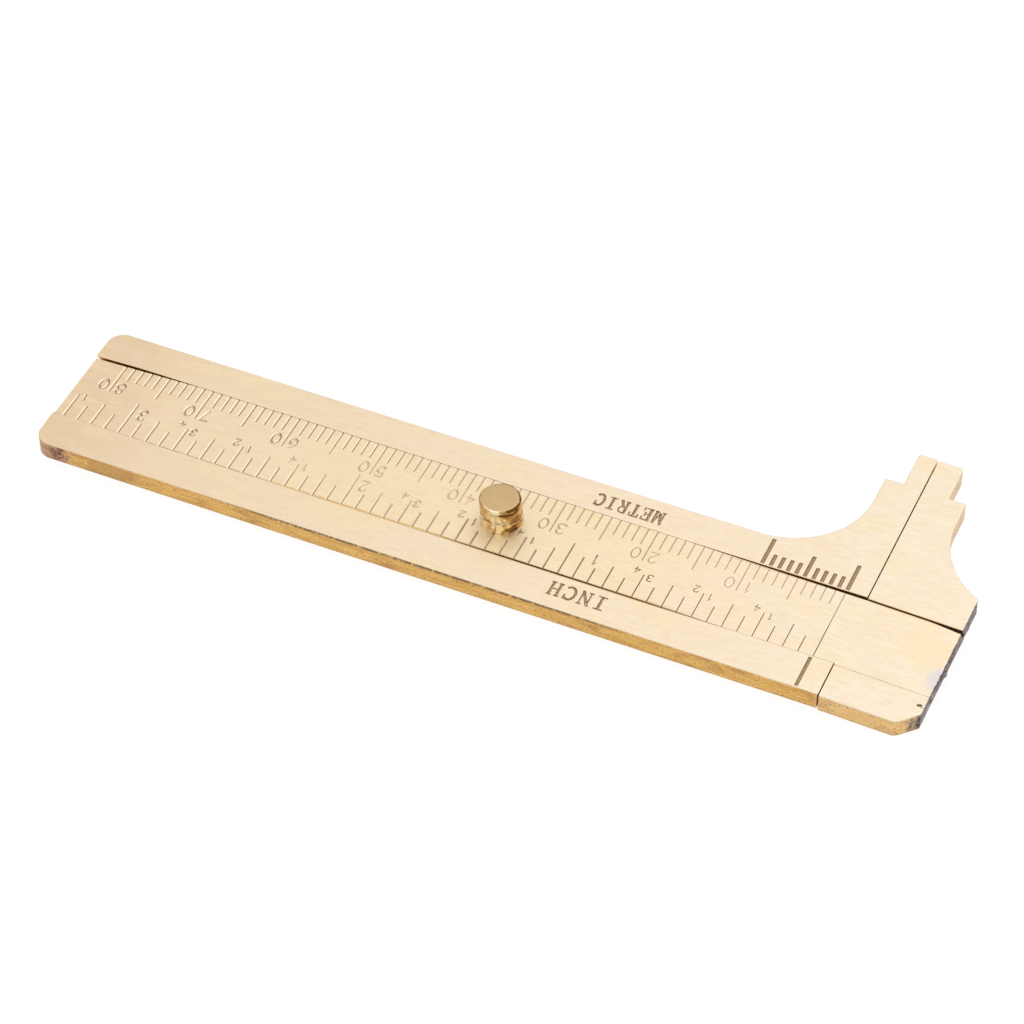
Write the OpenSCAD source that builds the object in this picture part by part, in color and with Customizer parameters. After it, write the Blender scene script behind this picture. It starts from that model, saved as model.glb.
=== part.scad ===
// Pocket sliding caliper in brass: a channelled frame with the fixed jaw, a graduated
// slide bar that runs in the channel, the moving jaw soldered to the end of the bar,
// and a thumb knob riveted through it.
// X runs along the bar and points the way the jaw opens, Y points to the jaw tips and
// Z up from the back face. The origin is on the back face, under the zero of the scales.

/* [Frame] */
// Thickness of the frame
body_t = 2.1; // [1.6:0.1:2.6]
// Distance from the zero of the scales to the closed end of the frame
frame_reach = 83.7; // [83.6:0.1:90]
// Distance from the zero of the scales to the plane where the jaws meet
jaw_plane = 2.15; // [1.8:0.05:3]
// Width of the rail on the side of the jaws
jaw_rail_w = 4.05; // [3.6:0.05:5]
// Width of the rail on the plain side
plain_rail_w = 4.35; // [3.6:0.05:5]
// Radius of the outer corners at the closed end
corner_r = 1.8; // [1:0.1:2.5]
// Radius of the inner corner of the jaw rail at the closed end
inner_corner_r = 0.2; // [0.1:0.1:0.8]
// How far the inner edge of the jaw rail comes in at the closed end
rail_pinch = 0.18; // [0.02:0.02:0.2]

/* [Jaws] */
// Height of the jaw tips above the centreline of the slide bar
tip_y = 25.8; // [24:0.1:30]
// Height of the shoulder under the narrow tips
shoulder_y = 21.1; // [19:0.1:22]
// Width of the narrow tip on the fixed jaw
fixed_tip_w = 2; // [1.4:0.1:2.6]
// Width of the fixed jaw below its shoulder
fixed_jaw_w = 4; // [3.5:0.1:6]
// Width of the narrow tip on the moving jaw
moving_tip_w = 2.85; // [2:0.05:3.5]
// Width of the moving jaw below its shoulder
moving_jaw_w = 4.7; // [4:0.1:6]
// Radius of the hollow behind the moving jaw
moving_hollow_r = 9.7; // [9.3:0.1:11]
// Length of the head from the jaw plane to the open end
head_len = 10; // [8:0.1:12]
// Hairline of light between the closed jaws
jaw_light = 0.1; // [0.02:0.01:0.15]
// Length of the corner cut off the head
head_chamfer = 2; // [1:0.1:3]
// Radius that takes the sharpness off the corners of the jaws
nose_r = 0.25; // [0.1:0.05:0.5]
// How far the soldered head sits off the line of the frame, towards the plain side
head_drop = 0.15; // [0:0.05:0.15]
// How far out of square the head is soldered, in degrees
head_skew = 1.6; // [0.2:0.1:2]

/* [Slide bar] */
// Width of the slide bar at its top face
slide_w = 9.4; // [8:0.1:10]
// Lean of the dovetail flanks from the vertical, in degrees
flank_lean = 30; // [15:5:35]
// Thickness of the web left under the channel
web_t = 0.6; // [0.5:0.05:0.8]
// Gap between the bar and the jaw rail
jaw_gap = 0.04; // [0.04:0.01:0.15]
// Gap between the bar and the plain rail
plain_gap = 0.06; // [0.04:0.01:0.15]
// Gap under the bar, which the solder fills inside the head
under_gap = 0.1; // [0.05:0.01:0.2]
// How far the bar stops short of the frame at the closed end
end_gap = 0.2; // [0:0.05:0.5]
// How much the edge of the bar falls away on its way to the jaw plane
neck_fall = 0.34; // [0.34:0.02:0.4]
// How far the bar stands off the jaw rail inside the head
head_gap = 0.2; // [0.1:0.02:0.2]
// How much its edge falls away at the open end of the head
head_fall = 0.3; // [0.1:0.02:0.4]
// How much it falls away at the closed end
tail_fall = 0.48; // [0.2:0.02:0.5]

/* [Scales] */
// Longest reading of the millimetre scale
mm_max = 80; // [20:10:80]
// Longest reading of the inch scale, in sixteenths
inch_max_16 = 52; // [20:4:52]
// Sixteenth that carries the long line beside the first inch numeral
first_inch_16 = 17; // [16:1:17]
// Width of the fine lines and of the strokes of the numerals
line_w = 0.16; // [0.1:0.02:0.24]
// Width of the broad lines of the vernier and of the inch index
vernier_w = 0.42; // [0.2:0.02:0.5]
// Depth of the fine lines
line_d = 0.08; // [0.04:0.01:0.15]
// Depth of the broad lines
vernier_d = 0.12; // [0.06:0.01:0.2]

/* [Thumb knob] */
// Distance of the knob from the zero of the scales
knob_back = 35; // [20:1:60]
// Diameter of the knob
knob_d = 4.3; // [3.4:0.1:5]
// Height of the knob above the slide bar
knob_h = 3.05; // [2:0.05:4]
// Height of the foot of the knob, up to its groove
foot_h = 1.3; // [0.8:0.1:1.6]
// Radius of the riveted shank
shank_r = 0.75; // [0.6:0.05:1]

/* [Hidden] */
$fn = 96;
eps = 0.05;
inch = 25.4;

// Edges of the bar, of the channel and of the body
bar_edge = slide_w / 2;
jaw_side = bar_edge + jaw_gap;
plain_side = -bar_edge - plain_gap;
jaw_edge = jaw_side + jaw_rail_w;
plain_edge = plain_side - plain_rail_w;
head_start = jaw_plane + jaw_light;
head_end = jaw_plane + head_len;
flank_run = (body_t - web_t) * tan(flank_lean);

// The bar lies in the channel with its top flush with the frame
bar_t = body_t - web_t - under_gap;
bar_run = bar_t * tan(flank_lean);
bar_start = -frame_reach + end_gap;

// Hollow of the fixed jaw: tangent to the jaw and to the rail
fixed_hollow_r = 8.95;
hollow_y = jaw_edge + fixed_hollow_r;

// Lengths of the lines, measured in from the edge of the bar
mm_line = 2.25;
mm_line_5 = 3.45;
mm_line_10 = 4.35;
line_16 = 2.2;
line_8 = 3.18;
line_4 = 3.4;
line_inch = 4.6;

// Numerals: their boxes, and the places of their centres from their line and the centreline
mm_digit = [1, 1.6];
tens_at = [0.9, 1.15];
nought_at = [-0.97, 1.15];
inch_digit = [0.9, 1.6];
inch_at = [1.1, -1.45];
part_digit = [0.7, 1.05];
upper_at = [0.7, -1.55];
lower_at = [-0.87, -1];

// Vernier: ten parts over nine millimetres
vernier_parts = 10;
vernier_pitch = 0.9;
vernier_foot = jaw_side + 0.16;
vernier_short = 1.6;
vernier_mid = 2.95;
vernier_long = 3.6;
index_x = -0.15;
index_margin = 0.15;

// Knob details
groove_w = 0.14;
groove_d = 0.12;
knob_bevel = 0.2;
rivet_head_r = 1.25;
rivet_head_t = 0.45;

// Stretches over which the edge of the bar and the rail beside it run out of line
neck_len = 19;
head_fall_len = 3.4;
tail_len = 12;
pinch_len = 5;

// Bead of solder on the end of the head
bead_t = 0.35;
bead_w = 7;
bead_low = 0.2;
bead_high = 1.9;

// ---- 2-D outlines ----

module rect(x0, x1, y0, y1) {
    translate([x0, y0]) square([x1 - x0, y1 - y0]);
}

// What to take off a corner at (x, y) of a shape that lies towards (sx, sy)
module corner(x, y, sx, sy, r) {
    difference() {
        rect(min(x - sx * eps, x + sx * r), max(x - sx * eps, x + sx * r),
             min(y - sy * eps, y + sy * r), max(y - sy * eps, y + sy * r));
        translate([x + sx * r, y + sy * r]) circle(r);
    }
}

// Hollow behind the fixed jaw, which runs out on the edge of the rail
module fixed_hollow() {
    jaw_x = jaw_plane - fixed_jaw_w;
    difference() {
        rect(jaw_x - fixed_hollow_r, jaw_x + eps, jaw_edge - eps, hollow_y);
        translate([jaw_x - fixed_hollow_r, hollow_y]) circle(fixed_hollow_r);
    }
}

module frame_2d() {
    jaw_x = jaw_plane - fixed_jaw_w;
    tip_x = jaw_plane - fixed_tip_w;
    difference() {
        union() {
            rect(-frame_reach, jaw_plane, plain_edge, jaw_edge);
            fixed_hollow();
            rect(jaw_x, jaw_plane, jaw_edge - eps, shoulder_y);
            rect(tip_x, jaw_plane, shoulder_y - eps, tip_y);
        }
        corner(-frame_reach, jaw_edge, 1, -1, corner_r);
        corner(-frame_reach, plain_edge, 1, 1, corner_r);
        corner(tip_x, tip_y, 1, -1, nose_r);
        corner(jaw_x, shoulder_y, 1, -1, nose_r);
    }
}

// Turns the profile of the head about the jaw plane, out of square
module skewed() {
    translate([jaw_plane, 0, 0]) rotate([0, 0, -head_skew]) translate([-jaw_plane, 0, 0])
        children();
}

// Head: the same profile, cut off and finished with its own hollow
module head_2d() {
    jaw_x = jaw_plane + moving_jaw_w;
    tip_x = jaw_plane + moving_tip_w;
    difference() {
        union() {
            rect(head_start, head_end, plain_edge - head_len, hollow_y);
            rect(head_start, jaw_x, jaw_edge, shoulder_y);
            rect(head_start, tip_x, shoulder_y - eps, tip_y);
        }
        translate([jaw_x + moving_hollow_r, hollow_y]) circle(moving_hollow_r);
        skewed() rect(0, 2 * head_end, plain_edge - 2 * head_len, plain_edge);
        skewed() translate([head_end, plain_edge]) rotate(45)
            square(head_chamfer * sqrt(2), center = true);
        corner(tip_x, tip_y, -1, -1, nose_r);
        corner(jaw_x, shoulder_y, -1, -1, nose_r);
    }
}

// ---- dovetails ----

// A dovetail along X: its two edges at the top, the run of its flanks, and its heights
module dovetail(x0, x1, y0, y1, run, z0, z1) {
    translate([x0, 0, 0]) rotate([90, 0, 90]) linear_extrude(x1 - x0)
        polygon([[y0 - run, z0], [y1 + run, z0], [y1, z1], [y0, z1]]);
}

// What lies beyond a flank on the side of the jaws, when the flank's top edge starts at
// (0, edge) and comes in by fall over len
module beyond_flank(edge, len, fall) {
    translate([0, edge, body_t]) rotate([flank_lean, 0, -atan(fall / len)])
        translate([-slide_w, 0, -slide_w / 2]) cube([len + 2 * slide_w, slide_w, slide_w]);
}

module channel(x0, x1) {
    over = eps * tan(flank_lean);
    dovetail(x0, x1, plain_side + over, jaw_side - over, flank_run + over, web_t, body_t + eps);
}

// What is soldered inside the head follows its drop and skew, and ends square with it
module in_head() intersection() {
    translate([0, -head_drop, 0]) skewed() children();
    translate([head_start, -tip_y, 0]) cube([head_end - head_start, 2 * tip_y, body_t]);
}

// ---- numerals, drawn in a box of the given size around their centre ----

module bar(a, b) {
    d = b - a;
    translate(a) rotate(atan2(d.y, d.x)) translate([0, -line_w / 2]) square([norm(d), line_w]);
    for (p = [a, b]) translate(p) circle(line_w / 2, $fn = 24);
}

module ring(r) {
    difference() {
        circle(r + line_w / 2);
        circle(r - line_w / 2);
    }
}

// Part of a ring, anticlockwise from a0 to a1
module bow(c, r, a0, a1) {
    far = 3 * r;
    span = a1 - a0;
    translate(c) intersection() {
        ring(r);
        polygon([[0, 0], for (k = [0:4]) far * [cos(a0 + k * span / 4), sin(a0 + k * span / 4)]]);
    }
}

// Nought as two half rings joined by straight sides
module nought(w, h) {
    r = (w - line_w) / 2;
    s = h / 2 - r - line_w / 2;
    bow([0, s], r, 0, 180);
    bow([0, -s], r, 180, 360);
    for (x = [-r, r]) rect(x - line_w / 2, x + line_w / 2, -s, s);
}

module digit(n, size) {
    x = (size.x - line_w) / 2;
    y = (size.y - line_w) / 2;
    q = y / 2;
    if (n == 0) nought(size.x, size.y);
    if (n == 1) { bar([0, -y], [0, y]); bar([0, y], [-x * 0.6, y - x * 0.8]); }
    if (n == 2) {
        bow([0, y - x], x, -35, 180);
        bar([x * 0.82, y - x * 1.57], [-x, -y]);
        bar([-x, -y], [x, -y]);
    }
    if (n == 3) for (s = [-1, 1]) bow([0, s * q], q, s > 0 ? -90 : -150, s > 0 ? 150 : 90);
    if (n == 4) {
        bar([x * 0.4, -y], [x * 0.4, y]);
        bar([x * 0.4, y], [-x, -q * 0.7]);
        bar([-x, -q * 0.7], [x, -q * 0.7]);
    }
    if (n == 5) {
        bar([x, y], [-x * 0.7, y]);
        bar([-x * 0.7, y], [-x * 0.7, q * 0.2]);
        bow([-x * 0.1, -q * 0.9], q * 1.1, -140, 125);
    }
    if (n == 6) {
        translate([0, x - y]) ring(x);
        bow([2 * y - 2 * x, x - y], 2 * y - x, 130, 180);
    }
    if (n == 7) { bar([-x, y], [x, y]); bar([x, y], [-x * 0.3, -y]); }
    if (n == 8) for (s = [-1, 1]) translate([0, s * q]) ring(q);
}

// The scales are read from the side of the jaws, so every numeral is turned half round
module mark_digit(n, size, x, place) {
    translate([x, 0] + place) rotate(180) digit(n, size);
}

// ---- scales ----

function mm_len(k) = k % 10 == 0 ? mm_line_10 : k % 5 == 0 ? mm_line_5 : mm_line;

function inch_len(k) =
    (k == first_inch_16 || (k > first_inch_16 && k % 16 == 0)) ? line_inch :
    k == 16 ? line_8 : k % 4 == 0 ? line_4 : k % 2 == 0 ? line_8 : line_16;

module line(x, w, y0, y1) {
    rect(x - w / 2, x + w / 2, y0, y1);
}

module mm_scale() {
    for (k = [1:mm_max]) line(-k, line_w, bar_edge - mm_len(k), bar_edge + eps);
    for (k = [10:10:mm_max]) {
        mark_digit(k / 10, mm_digit, -k, tens_at);
        mark_digit(0, mm_digit, -k, nought_at);
    }
}

// Quarters carry a small fraction split by their line, inches one whole numeral
module inch_scale() {
    for (k = [1:inch_max_16])
        line(-k * inch / 16, line_w, -bar_edge - eps, inch_len(k) - bar_edge);
    for (k = [4:4:inch_max_16]) {
        x = -k * inch / 16;
        part = (k / 4) % 4;
        if (part == 0) mark_digit(k / 16, inch_digit, x, inch_at);
        else {
            mark_digit(part == 2 ? 1 : part, part_digit, x, upper_at);
            if (k < inch_max_16) mark_digit(part == 2 ? 2 : 4, part_digit, x, lower_at);
        }
    }
}

module vernier() {
    for (k = [0:vernier_parts]) {
        len = k % 10 == 0 ? vernier_long : k == 5 ? vernier_mid : vernier_short;
        line(-k * vernier_pitch, vernier_w, vernier_foot, vernier_foot + len);
    }
}

module cut(depth) {
    translate([0, 0, body_t - depth]) linear_extrude(depth + eps) children();
}

// ---- pieces ----

module frame() color([0.93, 0.80, 0.55]) difference() {
    linear_extrude(body_t) frame_2d();
    difference() {
        channel(-frame_reach - 1, jaw_plane + 1);
        translate([pinch_len - frame_reach, 0, 0]) mirror([1, 0, 0])
            beyond_flank(jaw_side, pinch_len, rail_pinch);
    }
    // Starts inside the channel, so that it crosses the edge of the flank at an angle
    translate([0, 0, web_t]) linear_extrude(body_t)
        corner(-frame_reach, jaw_side - rail_pinch - eps, 1, 1, inner_corner_r);
    cut(vernier_d) vernier();
    cut(vernier_d) line(index_x, vernier_w, plain_edge + index_margin, plain_side - index_margin);
}

// The bar narrows towards the jaw plane, and its end lies skewed inside the head
module bar_body() {
    bar_low = web_t + under_gap;
    head_edge = jaw_side - head_gap;
    difference() {
        dovetail(bar_start, head_start + eps, -bar_edge, bar_edge, bar_run, bar_low, body_t);
        translate([jaw_plane - neck_len, 0, 0]) beyond_flank(bar_edge, neck_len, neck_fall);
        translate([bar_start + tail_len, 0, 0]) mirror([1, 0, 0])
            beyond_flank(bar_edge, tail_len, tail_fall);
    }
    in_head() difference() {
        dovetail(0, 2 * head_end, -bar_edge, head_edge, bar_run, bar_low, body_t);
        translate([head_end - head_fall_len, 0, 0])
            beyond_flank(head_edge, head_fall_len, head_fall);
    }
}

module slide_bar() color([0.95, 0.83, 0.60]) difference() {
    bar_body();
    cut(line_d) mm_scale();
    cut(line_d) inch_scale();
    cut(line_d) line(0, line_w, -slide_w, slide_w);
    translate([-knob_back, 0, 0]) cylinder(r = shank_r, h = body_t + 1);
    translate([-knob_back, 0, web_t]) cylinder(r = rivet_head_r, h = under_gap + rivet_head_t);
}

module moving_jaw() color([0.94, 0.82, 0.58]) translate([0, -head_drop, 0]) difference() {
    linear_extrude(body_t) head_2d();
    skewed() channel(jaw_plane - 1, head_end + 1);
}

// Turned knob with a bevelled top and a fine groove round it, and its shank, spread into
// a flat head in the counterbore under the bar
module thumb_knob() color([0.85, 0.66, 0.30]) {
    r = knob_d / 2;
    z = body_t;
    base = web_t + under_gap;
    translate([-knob_back, 0, 0]) rotate_extrude() polygon([
        [0, base], [rivet_head_r, base], [rivet_head_r, base + rivet_head_t],
        [shank_r, base + rivet_head_t], [shank_r, z], [r, z], [r, z + foot_h],
        [r - groove_d, z + foot_h + groove_w / 2], [r, z + foot_h + groove_w],
        [r, z + knob_h - knob_bevel], [r - knob_bevel, z + knob_h], [0, z + knob_h]]);
}

// Solder: the film that fills the gaps under and beside the bar inside the head, and the
// bead across the open end
module solder() color([0.62, 0.62, 0.66]) {
    film_y = jaw_side - head_gap + bar_run - head_fall;
    bar_low = web_t + under_gap;
    in_head() rotate([90, 0, 90]) linear_extrude(2 * head_end) polygon([
        [plain_side - flank_run, web_t], [film_y, web_t], [film_y, bar_low],
        [-bar_edge - bar_run, bar_low], [-bar_edge, body_t], [plain_side, body_t]]);
    translate([head_end, -head_drop, 0]) rotate([90, 0, 90]) linear_extrude(bead_t)
        rect(-bead_w / 2, bead_w / 2, bead_low, bead_high);
}

frame();
slide_bar();
moving_jaw();
thumb_knob();
solder();
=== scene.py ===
"""Looks of the pocket sliding caliper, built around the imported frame.

Lengths below are in millimetres and become metres when a mesh is made. X runs along the bar and points
the way the jaw opens, Y points to the jaw tips and Z is up from the back face.
"""
import math

import bmesh
import bpy
import numpy as np
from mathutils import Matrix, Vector, noise
from mathutils.geometry import delaunay_2d_cdt


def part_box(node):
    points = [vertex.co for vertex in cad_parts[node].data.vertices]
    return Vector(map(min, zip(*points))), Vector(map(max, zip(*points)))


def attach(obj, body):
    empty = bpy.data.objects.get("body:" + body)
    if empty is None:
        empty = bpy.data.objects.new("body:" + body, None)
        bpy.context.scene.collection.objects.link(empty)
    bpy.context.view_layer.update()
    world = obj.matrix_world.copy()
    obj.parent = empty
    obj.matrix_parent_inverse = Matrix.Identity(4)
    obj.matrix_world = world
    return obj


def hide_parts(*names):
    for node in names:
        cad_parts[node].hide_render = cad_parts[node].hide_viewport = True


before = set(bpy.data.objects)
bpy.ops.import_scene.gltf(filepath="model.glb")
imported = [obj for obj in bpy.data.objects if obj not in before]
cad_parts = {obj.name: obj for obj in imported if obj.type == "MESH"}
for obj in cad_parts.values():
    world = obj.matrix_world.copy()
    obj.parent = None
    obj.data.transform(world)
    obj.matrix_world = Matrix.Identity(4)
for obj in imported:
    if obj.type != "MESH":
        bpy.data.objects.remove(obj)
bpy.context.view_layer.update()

MM = 0.001


def box_mm(node):
    """The low and the high corner of a node's box."""
    low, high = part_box(node)
    return low / MM, high / MM


# ---- sizes, read from the frame ----

FRAME_LOW, FRAME_HIGH = box_mm("frame")
HEAD_LOW, HEAD_HIGH = box_mm("moving_jaw")
BAR_LOW, BAR_HIGH = box_mm("slide_bar")
KNOB_LOW, KNOB_HIGH = box_mm("thumb_knob")
SOLDER_LOW, SOLDER_HIGH = box_mm("solder")

CLOSED_END = FRAME_LOW.x
JAW_PLANE = FRAME_HIGH.x
HEAD_START = HEAD_LOW.x
HEAD_END = HEAD_HIGH.x
TOP = FRAME_HIGH.z
BAR_BASE = BAR_LOW.z
TIP_Y = FRAME_HIGH.y
PLAIN_EDGE = FRAME_LOW.y
HEAD_DROP = FRAME_HIGH.y - HEAD_HIGH.y

# ---- sizes that the boxes don't tell ----

LEAN = math.tan(math.radians(30))
UNDER_GAP = 0.1
WEB_T = BAR_BASE - UNDER_GAP
FLANK_RUN = (TOP - WEB_T) * LEAN
BAR_RUN = (TOP - BAR_BASE) * LEAN
BAR_EDGE = BAR_HIGH.y - BAR_RUN
JAW_GAP = 0.04
JAW_SIDE = BAR_EDGE + JAW_GAP
PLAIN_GAP = 0.06
PLAIN_SIDE = -BAR_EDGE - PLAIN_GAP
JAW_RAIL_W = 4.05
JAW_EDGE = JAW_SIDE + JAW_RAIL_W
HEAD_SKEW = math.tan(math.radians(1.6))
HOLLOW_R = 8.95
HOLLOW_Y = JAW_EDGE + HOLLOW_R
SHOULDER_Y = 21.1
FIXED_TIP_W = 2
FIXED_JAW_W = 4
MOVING_TIP_W = 2.85
MOVING_JAW_W = 4.7
MOVING_HOLLOW_R = 9.7
HEAD_CHAMFER = 2
# Points that ease the corner where the chamfer starts, from that corner
CHAMFER_EASE = [(-0.4, 0), (-0.1, 0.05), (0.12, 0.2), (0.35, 0.35)]
CORNER_R = 1.8
INNER_CORNER_R = 0.2
NOSE_R = 0.25
MOVING_NOSE_R = 0.4
FILLET_R = 0.2
HEAD_GAP = 0.2
# How much an edge falls away, and over what length
NECK_FALL, NECK_LEN = 0.34, 19
HEAD_FALL, HEAD_FALL_LEN = 0.3, 3.4
TAIL_FALL, TAIL_LEN = 0.48, 12
PINCH, PINCH_LEN = 0.18, 5
# The gap along the plain rail closes at both ends, and the bar bows away in between: (x, gap)
SEAM = [(CLOSED_END, 0.01), (-77, 0.015), (-71, 0.05), (-62, 0.05), (-57, 0.02), (-42, 0.02),
        (-33, 0.17), (-25, 0.17), (-18, 0.12), (-14, 0.09), (-11, 0.06), (-8, 0.02)]
KNOB_X = (KNOB_LOW.x + KNOB_HIGH.x) / 2
KNOB_R = (KNOB_HIGH.x - KNOB_LOW.x) / 2
SHANK_R = 0.75
RIVET_R, RIVET_T = 1.25, 0.45

# Rounding of an edge: width and depth at the outside, at the channel, and where the jaws meet
OUTER_EDGE = (0.09, 0.09)
FLANK_EDGE = (0.03, 0.03)
MEETING_EDGE = (0.045, 0.2)
MEETING_CORNER = (0.06, 0.15)
# How far from the channel the lean of the flanks still moves points of the end faces
FLANK_REACH = 2
# The steps of a rounding: shares of its width and depth
ROUND = [(0, 1), (0.06, 0.62), (0.3, 0.3), (0.62, 0.06), (1, 0)]
# Points closer than SAME are one point, a point closer than ON to a plane lies on it, and a face that
# is pressed in by more than SHOWS belongs to a mark
SAME, ON, SHOWS = 1e-5, 0.01, 1e-4
# The sawn end of the head: the step of its points along Y, and how far its roughness reaches in along X
RAGGED_STEP, RAGGED_REACH = 0.15, 0.3

# Material slots of the brass pieces
FACE, WALL, BACK, GROOVE, STAMP = range(5)


# ---- outlines ----

def arc(x, y, r, start, end, step=6):
    """Points of an arc, in degrees, with both its ends."""
    count = max(2, round(abs(end - start) / step))
    turns = [math.radians(start + (end - start) * k / count) for k in range(count + 1)]
    return [Vector((x + r * math.cos(t), y + r * math.sin(t))) for t in turns]


def steps(a, b, step):
    """Points from a to b, both included, at most a step apart."""
    a, b = Vector(a), Vector(b)
    count = max(1, math.ceil((b - a).length / step))
    return [a.lerp(b, k / count) for k in range(count + 1)]


def mitre(before, after, least):
    """Where a corner goes when both its sides move left by one; a higher least keeps sharp ones short."""
    before, after = before.normalized(), after.normalized()
    left, right = Vector((-before.y, before.x)), Vector((-after.y, after.x))
    return (left + right) / max(least, 1 + left.dot(right))


def inset(loop, distances):
    """Moves each point of an anticlockwise outline inwards by its distance, along its mitre."""
    moved = []
    for k, point in enumerate(loop):
        corner = mitre(point - loop[k - 1], loop[(k + 1) % len(loop)] - point, 0.2)
        moved.append(point + corner * distances[k])
    return moved


def lifted(loop, z):
    """A flat outline at a height."""
    return [Vector((p.x, p.y, z)) for p in loop]


def head_shift(x):
    """How far the profile of the head lies towards the plain side: it is dropped and out of square."""
    return HEAD_DROP + HEAD_SKEW * max(0, x - JAW_PLANE)


def in_head(x, y):
    """A point of the head, from where it would lie if the head were in line with the frame."""
    return Vector((x, y - head_shift(x)))


# ---- marks pressed into a face ----

class Mark:
    """A groove along a line, which is a list of points; flat marks are straight and have square ends."""

    def __init__(self, points, half, depth, slot=GROOVE, flat=False, wall=0.75):
        self.points = [Vector(p) for p in points]
        self.closed = (self.points[0] - self.points[-1]).length < SAME
        if self.closed:
            self.points.pop()
        self.half, self.depth, self.slot, self.flat = half, depth, slot, flat
        self.wall = half * wall

    def outlines(self):
        """The edges of its floor and its mouth."""
        for wide in (self.half - self.wall, self.half):
            if self.closed:
                yield beside(self.points, wide, True)
                yield beside(self.points, -wide, True)
            elif self.flat:
                yield square_ended(self.points[0], self.points[1], wide, wide - self.half)
            else:
                yield round_ended(self.points, wide)

    def beyond_floor(self, spots):
        """How far each spot lies beyond the floor of the groove."""
        reach = self.half - self.wall
        a, b = np.array(self.points[0]), np.array(self.points[1])
        if self.flat:
            along = (b - a) / np.linalg.norm(b - a)
            from_mid = spots - (a + b) / 2
            half_len = np.linalg.norm(b - a) / 2 - self.wall
            across = abs(from_mid @ np.array([-along[1], along[0]]))
            return np.maximum(abs(from_mid @ along) - half_len, across - reach)
        ends = self.points + self.points[:1] if self.closed else self.points
        near = np.full(len(spots), np.inf)
        for a, b in zip(ends[:-1], ends[1:]):
            a, run = np.array(a), np.array(b - a)
            t = np.clip((spots - a) @ run / (run @ run), 0, 1)
            near = np.minimum(near, np.linalg.norm(spots - a - t[:, None] * run, axis=1))
        return near - reach


def beside(points, wide, closed):
    """The line beside a line, on its left when wide is positive."""
    side, last = [], len(points) - 1
    for k, p in enumerate(points):
        before = p - points[k - 1] if k or closed else points[1] - p
        after = points[(k + 1) % len(points)] - p if k < last or closed else before
        side.append(p + mitre(before, after, 0.5) * wide)
    return side


def round_ended(points, wide):
    """The outline of a line with round ends."""
    first = math.degrees(math.atan2(*(points[1] - points[0]).yx))
    last = math.degrees(math.atan2(*(points[-1] - points[-2]).yx))
    start = arc(*points[0], wide, first + 90, first + 270, 45)
    end = arc(*points[-1], wide, last - 90, last + 90, 45)
    right, left = beside(points, -wide, False), beside(points, wide, False)
    return start + right[1:-1] + end + left[-2:0:-1]


def square_ended(a, b, wide, longer):
    """The outline of a straight line that is longer by some at both ends."""
    along = (b - a).normalized()
    across = Vector((-along.y, along.x)) * wide
    a, b = a - along * longer, b + along * longer
    return [a - across, b - across, b + across, a + across]


def pressed(marks, spots):
    """How deep a face is pressed in at each spot, and the slot of the mark that does it."""
    depth, slot = np.zeros(len(spots)), np.full(len(spots), FACE)
    for mark in marks:
        corners = np.array([p[:] for p in mark.points])
        low, high = corners.min(0) - mark.half, corners.max(0) + mark.half
        near = np.all((spots > low) & (spots < high), axis=1)
        if near.any():
            here = mark.depth * np.clip(1 - mark.beyond_floor(spots[near]) / mark.wall, 0, 1)
            deeper = here > depth[near]
            slot[np.flatnonzero(near)[deeper]] = mark.slot
            depth[near] = np.maximum(depth[near], here)
    return depth, slot


def flat_points(loop):
    """The x and y of each point, as rows."""
    return np.array([p[:2] for p in loop])


# ---- closed meshes ----

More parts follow.
